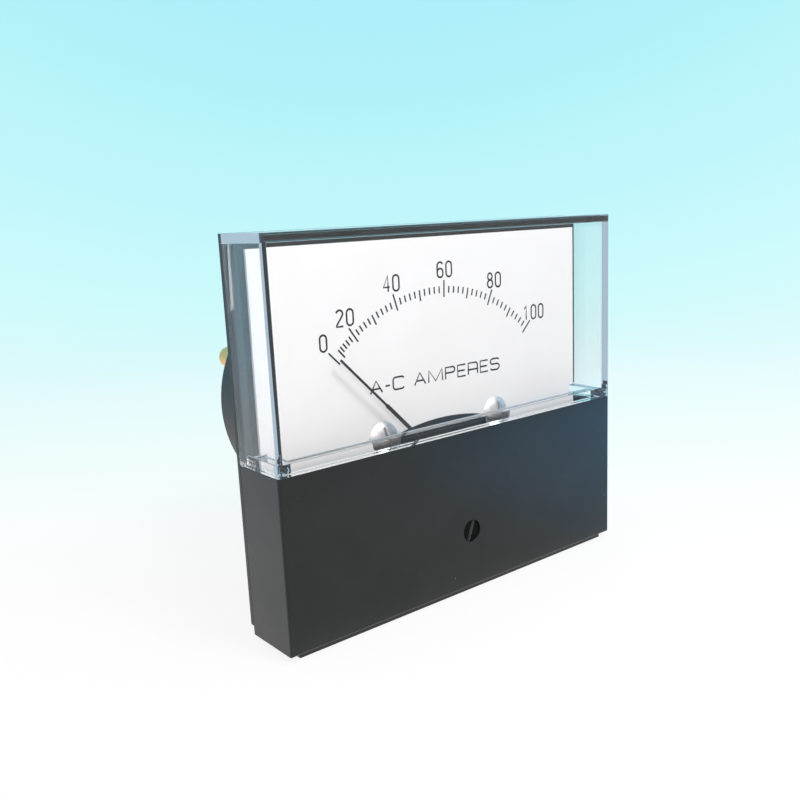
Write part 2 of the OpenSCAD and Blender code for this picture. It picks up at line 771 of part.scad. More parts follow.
// Hairspring collet: a brass ring on the staff.
module hairspring_collet() {
    color([0.80, 0.66, 0.34]) difference() {
        rod(collet_r, spring_y - 0.1, hub_y, 0, pivot_z);
        rod(staff_r, spring_y - cut, hub_y + cut, 0, pivot_z);
    }
}

// Staff: the steel shaft of the moving parts, with a fine pivot at each end.
module staff() {
    color([0.62, 0.63, 0.65]) translate([0, 0, pivot_z]) {
        rod(staff_r, staff_front_y, staff_back_y);
        rod(tip_r, staff_front_y - tip_len, staff_front_y + bite);
        rod(tip_r, staff_back_y - bite, staff_back_y + tip_len);
    }
}

// Pointer: a black blade in two widths on a round hub. It rests on the zero mark.
module pointer() {
    color([0.07, 0.07, 0.08]) translate([0, 0, pivot_z]) difference() {
        union() {
            rod(hub_r, hub_y, hub_back_y);
            rotate([0, scale_start, 0]) {
                block([-pointer_w / 2, pointer_y, 0],
                    [pointer_w / 2, pointer_back_y, pointer_inner]);
                block([-pointer_tip_w / 2, pointer_y, 0],
                    [pointer_tip_w / 2, pointer_back_y, pointer_len]);
            }
        }
        rod(staff_r, hub_y - cut, hub_back_y + cut);
    }
}

// Balance cross: three wire arms behind the pointer's hub, on a small boss.
module balance_cross() {
    color([0.80, 0.66, 0.34]) translate([0, 0, pivot_z]) difference() {
        union() {
            rod(1.6, hub_back_y, hub_back_y + 2 * arm_r + 0.2);
            for (a = [90, 180, 270]) rotate([0, scale_start + a, 0])
                translate([0, arm_y, 0]) cylinder(r = arm_r, h = arm_len, $fn = 24);
        }
        rod(staff_r, hub_back_y - cut, arm_y + 2);
    }
}

// Balance weights: one on each arm, set so that the moving parts balance on the staff.
module balance_weights() {
    color([0.80, 0.66, 0.34]) translate([0, 0, pivot_z]) for (a = [90, 180, 270]) {
        long = a == 180 ? tail_weight_len : side_weight_len;
        rotate([0, scale_start + a, 0]) translate([0, arm_y, arm_len - 0.4 - long])
            difference() {
                cylinder(r = weight_r, h = long, $fn = 24);
                translate([0, 0, -cut]) cylinder(r = arm_r, h = long + 2 * cut, $fn = 24);
            }
    }
}

// The outline of a round flange with an ear on each side.
module eared_disc(r, reach) {
    circle(r);
    translate([-reach, -ear_half_w]) square([2 * reach, 2 * ear_half_w]);
}

// Coil bobbin: a tube with a flange at each end. The front ears take the bridge screws
// and the rear ones the damper's.
module coil_bobbin() {
    color([0.86, 0.82, 0.70]) translate([0, 0, pivot_z]) difference() {
        union() {
            plate(bobbin_y, wind_y) eared_disc(bobbin_flange_r, ear_reach);
            rod(bobbin_bore + bobbin_wall, wind_y - bite, bobbin_end_y - bobbin_flange_t + bite);
            plate(bobbin_end_y - bobbin_flange_t, bobbin_end_y)
                eared_disc(bobbin_flange_r, damper_ear_x + 2.2);
        }
        rod(bobbin_bore, bobbin_y - cut, bobbin_end_y + cut);
        for (x = [-1, 1]) {
            rod(bridge_screw_r + 0.02, bobbin_y - cut, wind_y + cut, x * bridge_screw_x);
            rod(damper_screw_r + 0.02, bobbin_end_y - bobbin_flange_t - cut,
                bobbin_end_y + cut, x * damper_ear_x);
        }
    }
}

// Current coil: a heavy copper strap wound on the bobbin. One end rises on the left at
// the front and the other on the right at the rear.
module current_coil() {
    steps = turns * 36;
    rise = term_z - pivot_z + strap_w / 2;
    function section(side, y, z) = [for (c = [[0, -1], [1, -1], [1, 1], [0, 1]])
        [side * (strap_r + c.x * strap_t), y + c.y * strap_w / 2, z]];
    function turn(i) =
        let (a = 180 + i * 10, y = first_turn_y + i / steps * turns * strap_pitch)
        [for (c = [[0, -1], [1, -1], [1, 1], [0, 1]])
            [(strap_r + c.x * strap_t) * cos(a), y + c.y * strap_w / 2,
                (strap_r + c.x * strap_t) * sin(a)]];
    color([0.80, 0.48, 0.30]) translate([0, 0, pivot_z])
        swept(concat([section(-1, first_turn_y, rise)], [for (i = [0 : steps]) turn(i)],
            [section(1, last_turn_y, rise)]));
}

// Lead straps: from each end of the coil back to the foot that its terminal stud clamps.
module lead_straps() {
    near = strap_r + strap_t;
    starts = [[-1, first_turn_y], [1, last_turn_y]];
    color([0.80, 0.48, 0.30]) for (s = starts) mirror([s[0] < 0 ? 1 : 0, 0, 0]) {
        block([near, s[1] - strap_w / 2, term_z - strap_w / 2],
            [near + strap_t, foot_front_y + strap_t, term_z + strap_w / 2]);
        difference() {
            union() {
                block([near + strap_t - bite, foot_front_y, term_z - strap_w / 2],
                    [term_x, end_y, term_z + strap_w / 2]);
                rod(term_collar_r, foot_front_y, end_y, term_x, term_z);
            }
            rod(term_hole_r, foot_front_y - cut, end_y + cut, term_x, term_z);
        }
    }
}

// An iron vane: part of a tube along Y, from clock angle 0 round to the span.
module vane(inner, outer, y0, y1, span) {
    translate([0, y1, 0]) rotate([90, span - 90, 0])
        rotate_extrude(angle = span) translate([inner, 0]) square([outer - inner, y1 - y0]);
}

// Fixed vane: lines the bobbin's bore from the moving vane's place at rest leftwards.
module fixed_vane() {
    mid_y = (bobbin_y + bobbin_end_y) / 2;
    color([0.50, 0.51, 0.53]) translate([0, 0, pivot_z])
        rotate([0, scale_start + vane_span / 2 - fixed_span, 0])
            vane(bobbin_bore - vane_t, bobbin_bore, mid_y - vane_len / 2,
                mid_y + vane_len / 2, fixed_span);
}

// Moving vane: curved iron on two webs from the staff, just inside the fixed one. It
// lies on the pointer's side, and repulsion drives it clockwise.
module moving_vane() {
    outer = bobbin_bore - vane_t - vane_air;
    mid_y = (bobbin_y + bobbin_end_y) / 2;
    y0 = mid_y - vane_len / 2;
    y1 = mid_y + vane_len / 2;
    webs = [y0 + web_w, y1 - 2 * web_w];
    color([0.50, 0.51, 0.53]) translate([0, 0, pivot_z])
        rotate([0, scale_start - vane_span / 2, 0]) difference() {
            union() {
                vane(outer - vane_t, outer, y0, y1, vane_span);
                rotate([0, vane_span / 2, 0]) for (y = webs)
                    block([-web_w / 2, y, 0], [web_w / 2, y + web_w, outer - vane_t / 2]);
                for (y = webs) rod(staff_r + 0.5, y - 0.2, y + web_w + 0.2);
            }
            rod(staff_r, y0 - cut, y1 + cut);
        }
}

// Damping chamber: a shallow cup. Its two ribs leave the paddle just its own travel.
module damping_chamber() {
    rib_low = paddle_angle - travel_under;
    rib_high = paddle_angle + travel_over;
    rib_reach = damper_r - damper_wall / 2;
    color([0.70, 0.71, 0.73]) translate([0, 0, pivot_z]) difference() {
        union() {
            difference() {
                plate(damper_y, damper_end_y) eared_disc(damper_r, damper_ear_x + 2.2);
                rod(damper_r - damper_wall, damper_y + damper_wall, damper_end_y + cut);
            }
            rotate([0, rib_low, 0])
                block([-paddle_air - 1, damper_y + bite, 2.6],
                    [-paddle_air, damper_end_y, rib_reach]);
            rotate([0, rib_high, 0])
                block([paddle_air, damper_y + bite, 2.6],
                    [paddle_air + 1, damper_end_y, rib_reach]);
        }
        rod(staff_r + 1, damper_y - cut, damper_end_y);
        for (x = [-1, 1])
            rod(damper_screw_r + fit_gap, damper_y - cut, damper_end_y + cut, x * damper_ear_x);
    }
}

// Damping cover: closes the chamber and carries the rear jewel screw.
module damping_cover() {
    color([0.70, 0.71, 0.73]) translate([0, 0, pivot_z]) difference() {
        union() {
            plate(damper_end_y, damper_back_y) eared_disc(damper_r, damper_ear_x + 2.2);
            rod(damper_boss_r, damper_back_y - bite, damper_back_y + damper_boss_t);
        }
        rod(jewel_r + 0.02, damper_end_y - cut, damper_back_y + damper_boss_t + cut);
        for (x = [-1, 1])
            rod(damper_screw_r + fit_gap, damper_end_y - cut, damper_back_y + cut,
                x * damper_ear_x);
    }
}

// Damping paddle: a thin blade on the staff that sweeps the chamber's air.
module damping_paddle() {
    y0 = damper_y + damper_wall + paddle_air;
    y1 = damper_end_y - paddle_air;
    color([0.82, 0.83, 0.85]) translate([0, 0, pivot_z]) difference() {
        union() {
            rotate([0, paddle_angle, 0])
                block([-paddle_t / 2, y0, 0], [paddle_t / 2, y1, paddle_len]);
            rod(staff_r + 0.4, y0, y1);
        }
        rod(staff_r, y0 - cut, y1 + cut);
    }
}

// Damper screws: through the cover and the chamber into the bobbin's rear ears.
module damper_screws() {
    color([0.70, 0.68, 0.62]) for (x = [-1, 1]) {
        rod(head_wide * damper_screw_r, damper_back_y,
            damper_back_y + head_deep * damper_screw_r, x * damper_ear_x, pivot_z);
        rod(damper_screw_r, bobbin_end_y - bobbin_flange_t, damper_back_y + bite,
            x * damper_ear_x, pivot_z);
    }
}

// Rear jewel screw: through the damping cover's boss.
module rear_jewel_screw() {
    color([0.80, 0.66, 0.34]) translate([0, 0, pivot_z])
        jewel_screw(damper_back_y + damper_boss_t + jewel_nut_t + 0.8, jewel_back_y);
}

// Rear lock nut: clamps the rear jewel screw.
module rear_lock_nut() {
    y = damper_back_y + damper_boss_t;
    color([0.80, 0.66, 0.34]) nut(jewel_nut_af, jewel_r + 0.02, y, y + jewel_nut_t, 0, pivot_z);
}

// Terminal studs: brass, with a collar inside that clamps the coil's lead.
module terminal_studs() {
    color([0.83, 0.67, 0.30]) for (x = [-1, 1]) {
        rod(term_collar_r, foot_front_y - term_collar_t, foot_front_y, x * term_x, term_z);
        rod(term_r, foot_front_y - bite, barrel_len + term_out - 0.6, x * term_x, term_z);
        translate([x * term_x, barrel_len + term_out - 0.6 - bite, term_z]) rotate([-90, 0, 0])
            cylinder(r1 = term_r, r2 = term_r - 0.6, h = 0.6 + bite);
    }
}

// Terminal washers: flat brass rings against the barrel's end.
module terminal_washers() {
    color([0.83, 0.67, 0.30]) for (x = [-1, 1]) difference() {
        rod(term_washer_r, barrel_len, term_nut_y, x * term_x, term_z);
        rod(term_hole_r, barrel_len - cut, term_nut_y + cut, x * term_x, term_z);
    }
}

// Terminal nuts: thin nuts that clamp each stud to the barrel and leave its end bare for
// a cable lug.
module terminal_nuts() {
    color([0.83, 0.67, 0.30]) for (x = [-1, 1])
        nut(term_nut_af, term_r + 0.02, term_nut_y, term_nut_y + term_nut_t, x * term_x, term_z);
}

base();
mounting_studs();
window_cover();
lower_cover();
cover_screws();
zero_adjust_screw();
dial_plate();
scale_marks();
dial_screws();
movement_frame();
movement_screws();
front_bridge();
bridge_screws();
front_jewel_screw();
front_lock_nut();
zero_lever();
hairspring();
hairspring_collet();
staff();
pointer();
balance_cross();
balance_weights();
coil_bobbin();
current_coil();
lead_straps();
fixed_vane();
moving_vane();
damping_chamber();
damping_cover();
damping_paddle();
damper_screws();
rear_jewel_screw();
rear_lock_nut();
terminal_studs();
terminal_washers();
terminal_nuts();
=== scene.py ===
import json
import math

import bpy
from mathutils import Matrix, Vector


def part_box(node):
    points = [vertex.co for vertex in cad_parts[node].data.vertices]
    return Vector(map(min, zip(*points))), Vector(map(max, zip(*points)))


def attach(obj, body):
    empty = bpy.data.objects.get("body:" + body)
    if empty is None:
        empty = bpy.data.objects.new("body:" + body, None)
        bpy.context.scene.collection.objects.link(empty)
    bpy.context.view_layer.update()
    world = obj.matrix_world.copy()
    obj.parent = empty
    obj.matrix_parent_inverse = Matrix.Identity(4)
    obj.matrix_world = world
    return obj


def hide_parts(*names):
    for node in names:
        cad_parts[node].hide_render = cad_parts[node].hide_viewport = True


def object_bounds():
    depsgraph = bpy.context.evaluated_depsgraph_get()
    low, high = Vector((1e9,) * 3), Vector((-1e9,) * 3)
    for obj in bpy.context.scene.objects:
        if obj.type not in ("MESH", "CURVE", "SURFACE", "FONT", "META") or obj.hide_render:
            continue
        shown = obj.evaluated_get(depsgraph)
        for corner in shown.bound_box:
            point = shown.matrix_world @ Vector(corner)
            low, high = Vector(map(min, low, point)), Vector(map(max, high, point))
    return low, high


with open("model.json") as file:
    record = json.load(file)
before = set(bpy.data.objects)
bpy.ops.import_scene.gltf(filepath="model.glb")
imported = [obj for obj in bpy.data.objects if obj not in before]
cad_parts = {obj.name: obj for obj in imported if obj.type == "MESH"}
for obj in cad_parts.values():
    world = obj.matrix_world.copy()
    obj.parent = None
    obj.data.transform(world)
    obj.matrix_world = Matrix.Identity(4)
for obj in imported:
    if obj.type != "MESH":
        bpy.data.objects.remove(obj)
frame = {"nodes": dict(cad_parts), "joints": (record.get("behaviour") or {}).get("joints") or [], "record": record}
cad_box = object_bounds()
bpy.ops.object.select_all(action="DESELECT")


# Base: one phenolic moulding, the flange with the round barrel behind it. It comes out of
# a polished mould, so it has a fine orange-peel skin, and flow marks make it a little
# uneven in gloss. Dust settles on it in a few specks.
def add_node(tree, kind, sockets, **settings):
    """Adds a shader node, linking or setting its sockets by name or place."""
    made = tree.nodes.new("ShaderNode" + kind)
    for name, value in settings.items():
        setattr(made, name, value)
    for name, value in sockets.items():
        if isinstance(value, bpy.types.NodeSocket):
            tree.links.new(value, made.inputs[name])
        else:
            made.inputs[name].default_value = value
    return made


def start_finish(name, **constants):
    """A new material: its tree, its shader and the piece's own coordinates."""
    material = bpy.data.materials.new(name)
    material.use_nodes = True
    tree = material.node_tree
    shader = tree.nodes["Principled BSDF"]
    for socket, value in constants.items():
        shader.inputs[socket.replace("_", " ")].default_value = value
    place = add_node(tree, "TexCoord", {}).outputs["Object"]
    return material, tree, shader, place


def noise(tree, place, size, detail, stretch=(1.0, 1.0, 1.0)):
    """Noise with features of about this size in metres, stretched along each axis."""
    scaled = add_node(tree, "Mapping", {"Vector": place, "Scale": [1 / s for s in stretch]})
    return add_node(tree, "TexNoise", {
        "Vector": scaled.outputs["Vector"], "Scale": 1 / size, "Detail": detail,
    }).outputs["Fac"]


noise_low, noise_high = 0.3, 0.7  # nearly all of a noise lies between these


def shades(tree, factor, dark, light):
    """A colour that goes between two shades as a noise rises."""
    ramp = add_node(tree, "ValToRGB", {"Fac": factor})
    ramp.color_ramp.elements[0].position = noise_low
    ramp.color_ramp.elements[0].color = (*dark, 1)
    ramp.color_ramp.elements[1].position = noise_high
    ramp.color_ramp.elements[1].color = (*light, 1)
    return ramp.outputs["Color"]


def ranged(tree, factor, low, high, start=noise_low, end=noise_high):
    """A number from low to high, as the factor goes from start to end."""
    return add_node(tree, "MapRange", {
        "Value": factor, "From Min": start, "From Max": end, "To Min": low, "To Max": high,
    }).outputs["Result"]


def bumps(tree, height, depth):
    """A normal for a height map of this depth in metres."""
    return add_node(tree, "Bump", {"Height": height, "Distance": depth}).outputs["Normal"]


def maths(tree, operation, first, second=0.0):
    """One step of arithmetic."""
    return add_node(tree, "Math", {0: first, 1: second}, operation=operation).outputs[0]


def mixed(tree, factor, first, second):
    """One colour laid over another by a factor."""
    return add_node(tree, "Mix", {0: factor, 6: first, 7: second},
                    data_type="RGBA").outputs[2]


def specks(tree, place, spacing, radius, share):
    """1 on round specks of this radius, in a share of cells this far apart."""
    cells = add_node(tree, "TexVoronoi", {"Vector": place, "Scale": 1 / spacing})
    near = maths(tree, "LESS_THAN", cells.outputs["Distance"], radius / spacing)
    chosen = add_node(tree, "SeparateColor", {"Color": cells.outputs["Color"]})
    few = maths(tree, "LESS_THAN", chosen.outputs["Red"], share)
    return maths(tree, "MULTIPLY", near, few)


def moulding(name, dark, light, gloss, dull, dust=0.0):
    """Moulded plastic: mottled a little, with an uneven gloss and an orange-peel skin."""
    mottle_size, flow_size = 0.012, 0.02
    peel_size, peel_deep = 0.0007, 0.00002
    speck_apart, speck_r = 0.007, 0.00026
    speck_grey = (0.34, 0.36, 0.37, 1)
    material, tree, shader, place = start_finish(name)
    colour = shades(tree, noise(tree, place, mottle_size, 3), dark, light)
    if dust:
        fleck = specks(tree, place, speck_apart, speck_r, dust)
        colour = mixed(tree, fleck, colour, speck_grey)
    tree.links.new(colour, shader.inputs["Base Color"])
    rough = ranged(tree, noise(tree, place, flow_size, 4), gloss, dull)
    tree.links.new(rough, shader.inputs["Roughness"])
    peel = bumps(tree, noise(tree, place, peel_size, 2), peel_deep)
    tree.links.new(peel, shader.inputs["Normal"])
    return material


def pick(piece):
    """Makes one piece the only one that the next steps work on."""
    bpy.ops.object.select_all(action="DESELECT")
    bpy.context.view_layer.objects.active = piece
    piece.select_set(True)


def take_copy(node, name):
    """A separate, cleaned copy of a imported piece, with its flat faces joined."""
    same_point, same_plane = 0.000002, math.radians(0.5)
    source = frame["nodes"][node]
    piece = bpy.data.objects.new(name, source.data.copy())
    bpy.context.scene.collection.objects.link(piece)
    pick(piece)
    bpy.ops.object.mode_set(mode="EDIT")
    bpy.ops.mesh.select_all(action="SELECT")
    bpy.ops.mesh.remove_doubles(threshold=same_point)
    bpy.ops.mesh.customdata_custom_splitnormals_clear()
    bpy.ops.mesh.dissolve_limited(angle_limit=same_plane)
    bpy.ops.object.mode_set(mode="OBJECT")
    return piece


def break_edges(node, name, width, material, segments=2):
    """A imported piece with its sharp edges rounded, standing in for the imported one."""
    sharp_from, smooth_to = math.radians(40), math.radians(50)
    piece = take_copy(node, name)
    bevel = piece.modifiers.new("edges", "BEVEL")
    bevel.width = width
    bevel.segments = segments
    bevel.limit_method = "ANGLE"
    bevel.angle_limit = sharp_from
    bevel.use_clamp_overlap = True
    bpy.ops.object.modifier_apply(modifier="edges")
    bpy.ops.object.shade_smooth_by_angle(angle=smooth_to)
    # The large faces shade flat, and only the narrow rounded edges turn the light.
    flats = piece.modifiers.new("flats", "WEIGHTED_NORMAL")
    flats.mode = "FACE_AREA"
    flats.weight = 100
    flats.keep_sharp = True
    bpy.ops.object.modifier_apply(modifier="flats")
    piece.data.materials.clear()
    piece.data.materials.append(material)
    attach(piece, "meter")
    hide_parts(node)
    return piece


flange_edge = 0.00018
phenolic = moulding("black_phenolic", (0.012, 0.013, 0.014), (0.019, 0.021, 0.022),
                    gloss=0.28, dull=0.42, dust=0.05)
break_edges("base", "flange_and_barrel", flange_edge, phenolic)


# Mounting studs and the other steel screws: turned, with a fine tool grain round them,
# and zinc plated. The studs' thread is rolled on to them, so it stands a little proud.
def metal(name, dark, light, gloss, dull, stretch=(1.0, 1.0, 1.0), scratch=0.000004):
    """Worked metal, with tarnish in patches and a tool grain stretched one way."""
    tarnish_size, grain_size = 0.004, 0.00025
    material, tree, shader, place = start_finish(name, Metallic=1.0)
    colour = shades(tree, noise(tree, place, tarnish_size, 4), dark, light)
    tree.links.new(colour, shader.inputs["Base Color"])
    grain = noise(tree, place, grain_size, 3, stretch)
    tree.links.new(ranged(tree, grain, gloss, dull), shader.inputs["Roughness"])
    tree.links.new(bumps(tree, grain, scratch), shader.inputs["Normal"])
    return material


def dress(material, *nodes):
    """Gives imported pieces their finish."""
    for node in nodes:
        slots = frame["nodes"][node].material_slots
        for slot in slots:
            slot.material = material
        if not slots:
            frame["nodes"][node].data.materials.append(material)


def cut_thread(name, x, z, start, end, radius, pitch, material):
    """A screw thread round a stud that runs along Y, as one closed spiral ridge."""
    crest_out, root_in, half_foot = 0.12, 0.06, 0.42
    steps_a_turn = 24
    crease = math.radians(30)
    bpy.ops.object.select_all(action="DESELECT")
    bpy.ops.mesh.primitive_circle_add(vertices=3, radius=pitch, fill_type="NOTHING")
    thread = bpy.context.object
    thread.name = name
    # The ridge's crest and its two roots, out from the stud and along it, in pitches.
    ridge = ((crest_out, 0.0), (-root_in, -half_foot), (-root_in, half_foot))
    for corner, (out, along) in zip(thread.data.vertices, ridge):
        corner.co = (radius + out * pitch, 0, along * pitch)
    screw = thread.modifiers.new("turns", "SCREW")
    screw.screw_offset = pitch
    screw.iterations = int((end - start) / pitch - 1)
    screw.steps = steps_a_turn
    screw.render_steps = steps_a_turn
    screw.use_merge_vertices = False
    bpy.ops.object.modifier_apply(modifier="turns")
    bpy.ops.object.mode_set(mode="EDIT")
    bpy.ops.mesh.select_all(action="SELECT")
    bpy.ops.mesh.fill_holes(sides=3)
    bpy.ops.mesh.select_all(action="SELECT")
    bpy.ops.mesh.normals_make_consistent(inside=False)
    bpy.ops.object.mode_set(mode="OBJECT")
    thread.rotation_euler = (-math.pi / 2, 0, 0)
    thread.location = (x, start + pitch / 2, z)
    bpy.ops.object.transform_apply(location=True, rotation=True, scale=True)
    bpy.ops.object.shade_smooth_by_angle(angle=crease)
    thread.data.materials.append(material)
    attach(thread, "meter")


turned = (12.0, 1.0, 12.0)  # the grain runs round the Y axis
zinc = metal("zinc_plate", (0.42, 0.42, 0.40), (0.60, 0.60, 0.58), gloss=0.28, dull=0.42,
             stretch=turned)
dress(zinc, "mounting_studs", "cover_screws", "movement_screws", "bridge_screws",
      "damper_screws")
mounts = {mount["name"]: mount for mount in frame["record"]["mounts"]}
stud_sizes = mounts["mounting_studs"]["dims"]
mm_in_metre = 1000
stud_r = stud_sizes["stud_r_mm"] / mm_in_metre
stud_out = stud_sizes["pcd_mm"] / 2 / mm_in_metre * math.sqrt(0.5)
stud_pitch = 0.0008
thread_from, thread_to = 0.0012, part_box("mounting_studs")[1].y - 0.0004
for side, x in (("left", -stud_out), ("right", stud_out)):
    for row, z in (("lower", -stud_out), ("upper", stud_out)):
        cut_thread("thread_" + row + "_" + side, x, z, thread_from, thread_to, stud_r,
                   stud_pitch, zinc)


# Movement: a cream bobbin with a copper strap wound on it, the two soft iron vanes inside,
# the air damper's cast chamber behind, and the steel staff on its jewel screws.
rolled = (20.0, 1.0, 1.0)  # the grain runs along the X axis
dress(moulding("bobbin_cream", (0.52, 0.43, 0.26), (0.62, 0.53, 0.34), gloss=0.38,
               dull=0.5), "coil_bobbin")
dress(metal("copper_strap", (0.50, 0.22, 0.12), (0.76, 0.40, 0.26), gloss=0.24, dull=0.40,
            stretch=rolled), "current_coil", "lead_straps")
dress(metal("soft_iron", (0.20, 0.20, 0.21), (0.34, 0.33, 0.33), gloss=0.42, dull=0.60,
            stretch=rolled), "fixed_vane", "moving_vane")
dress(metal("cast_aluminium", (0.46, 0.47, 0.48), (0.60, 0.61, 0.63), gloss=0.40, dull=0.55,
            scratch=0.00002), "damping_chamber", "damping_cover")
dress(metal("aluminium_foil", (0.68, 0.69, 0.70), (0.80, 0.81, 0.82), gloss=0.20, dull=0.32,
            stretch=rolled), "damping_paddle")
dress(metal("ground_steel", (0.42, 0.43, 0.45), (0.58, 0.59, 0.61), gloss=0.12, dull=0.25,
            stretch=turned), "staff")
dress(metal("turned_brass", (0.62, 0.44, 0.16), (0.82, 0.63, 0.29), gloss=0.16, dull=0.30,
            stretch=turned), "rear_jewel_screw", "rear_lock_nut", "balance_cross",
      "balance_weights", "hairspring_collet", "front_jewel_screw", "front_lock_nut")
dress(metal("spring_bronze", (0.46, 0.27, 0.11), (0.66, 0.43, 0.20), gloss=0.22, dull=0.34,
            stretch=rolled), "hairspring", "zero_lever")


# Movement frame: a flat plate moulded in matt black, which stands between the base and the
# dial and carries the bobbin.
dress(moulding("frame_black", (0.010, 0.010, 0.011), (0.017, 0.017, 0.018), gloss=0.45,
               dull=0.6), "movement_frame")


# Dial plate: aluminium sheet with a baked enamel, white, and dull so that it doesn't
# glare. The enamel has a faint grain, and its white isn't quite even.
def enamel(name, dark, light, rough):
    """Baked enamel: nearly even, with a fine grain."""
    shade_size = 0.018
    grain_size, grain_deep = 0.0004, 0.000006
    uneven = 0.05
    material, tree, shader, place = start_finish(name)
    colour = shades(tree, noise(tree, place, shade_size, 4), dark, light)
    tree.links.new(colour, shader.inputs["Base Color"])
    grain = noise(tree, place, grain_size, 3)
    tree.links.new(ranged(tree, grain, rough - uneven, rough + uneven),
                   shader.inputs["Roughness"])
    tree.links.new(bumps(tree, grain, grain_deep), shader.inputs["Normal"])
    return material


dress(enamel("dial_enamel", (0.865, 0.848, 0.852), (0.89, 0.878, 0.884), rough=0.55),
      "dial_plate")


# Scale: fine marks in black ink, screen-printed on the enamel. The ink is thin, a little
# glossier than the enamel, and not quite even.
def ink(name):
    """Printed ink, thinner in some places than in others."""
    thin_size, gloss_size = 0.0006, 0.002
    material, tree, shader, place = start_finish(name, Specular_IOR_Level=0.3)
    colour = shades(tree, noise(tree, place, thin_size, 3), (0.004, 0.004, 0.0045),
                    (0.012, 0.011, 0.012))
    tree.links.new(colour, shader.inputs["Base Color"])
    tree.links.new(ranged(tree, noise(tree, place, gloss_size, 2), 0.4, 0.55),
                   shader.inputs["Roughness"])
    return material


ink_black = ink("printed_ink")
dress(ink_black, "scale_marks")


# Dial numbers: printed with the scale, outside its long marks. They are drawn as an
# engraver's template guides a pen, in tall narrow strokes of one width with round bends.
def bend(x, z, across, up, start, end, steps=8):
    """Points along part of an ellipse, from one angle to another in degrees."""
    angles = [math.radians(start + (end - start) * i / steps) for i in range(steps + 1)]
    return [(x + across * math.cos(a), z + up * math.sin(a)) for a in angles]


def ring(x, z, across, up):
    """An oval that closes on itself: its last point repeats the first."""
    return bend(x, z, across, up, 0, 360, 20)


pen_figures = {
    "0": [bend(0.5, 0.77, 0.5, 0.23, 0, 180) + bend(0.5, 0.23, 0.5, 0.23, 180, 360)
          + [(1, 0.77)]],
    "1": [[(0.12, 0.78), (0.5, 1), (0.5, 0)]],
    "2": [bend(0.5, 0.77, 0.5, 0.23, 165, -35) + [(0.04, 0.1), (0, 0), (1, 0)]],
    "4": [[(0.76, 0), (0.76, 1), (0, 0.28), (1, 0.28)]],
    "6": [bend(0.5, 0.77, 0.5, 0.23, 20, 180) + bend(0.5, 0.23, 0.5, 0.23, 180, 360)
          + bend(0.5, 0.38, 0.5, 0.2, 0, 180)],
    "8": [ring(0.5, 0.765, 0.43, 0.235), ring(0.5, 0.265, 0.5, 0.265)],
}


def draw_strokes(name, strokes, weight, place):
    """Pen strokes printed flat on the dial: each is a chain of points across and up."""
    same_point = weight / 50
    line = bpy.data.curves.new(name, "CURVE")
    line.dimensions = "3D"
    line.bevel_depth = weight / 2
    line.bevel_resolution = 2
    line.use_fill_caps = True
    for stroke in strokes:
        closed = math.dist(stroke[0], stroke[-1]) < same_point
        points = stroke[:-1] if closed else stroke
        spline = line.splines.new("POLY")
        spline.points.add(len(points) - 1)
        spline.use_cyclic_u = closed
        for point, (x, z) in zip(spline.points, points):
            point.co = (x, 0, z, 1)
    piece = bpy.data.objects.new(name, line)
    bpy.context.scene.collection.objects.link(piece)
    pick(piece)
    bpy.ops.object.convert(target="MESH")
    bpy.ops.object.mode_set(mode="EDIT")
    bpy.ops.mesh.select_all(action="SELECT")
    bpy.ops.transform.resize(value=(1, ink_thick / weight, 1), center_override=(0, 0, 0))
    bpy.ops.transform.translate(value=place)
    bpy.ops.mesh.normals_make_consistent(inside=False)
    bpy.ops.object.mode_set(mode="OBJECT")
    piece.data.materials.append(ink_black)
    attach(piece, "meter")


ink_thick = 0.00005
print_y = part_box("dial_plate")[0].y - ink_thick / 2
joints = {joint["name"]: joint for joint in frame["joints"]}
pivot_z = joints["pointer_swing"]["pos_m"][2]
scale_start, scale_end = math.radians(-43.9), math.radians(43.8)
number_r = 0.0535
number_weight = 0.00050
figure_wide, figure_high = 0.00195, 0.00402
figure_pitch = 0.0031


def reading_angle(value, full=100, knee=18):
    """A reading's angle from straight up: readings crowd together near zero."""
    def crowd(v):
        return math.hypot(v, knee) - knee
    return scale_start + (scale_end - scale_start) * crowd(value) / crowd(full)


for value in range(0, 101, 20):
    digits = str(value)
    strokes = []
    for column, digit in enumerate(digits):
        left = (column - (len(digits) - 1) / 2) * figure_pitch - figure_wide / 2
        for stroke in pen_figures[digit]:
            strokes.append([(left + x * figure_wide, (z - 0.5) * figure_high)
                            for x, z in stroke])
    angle = reading_angle(value)
    centre = (number_r * math.sin(angle), print_y, pivot_z + number_r * math.cos(angle))
    draw_strokes("dial_number_" + digits, strokes, number_weight, centre)


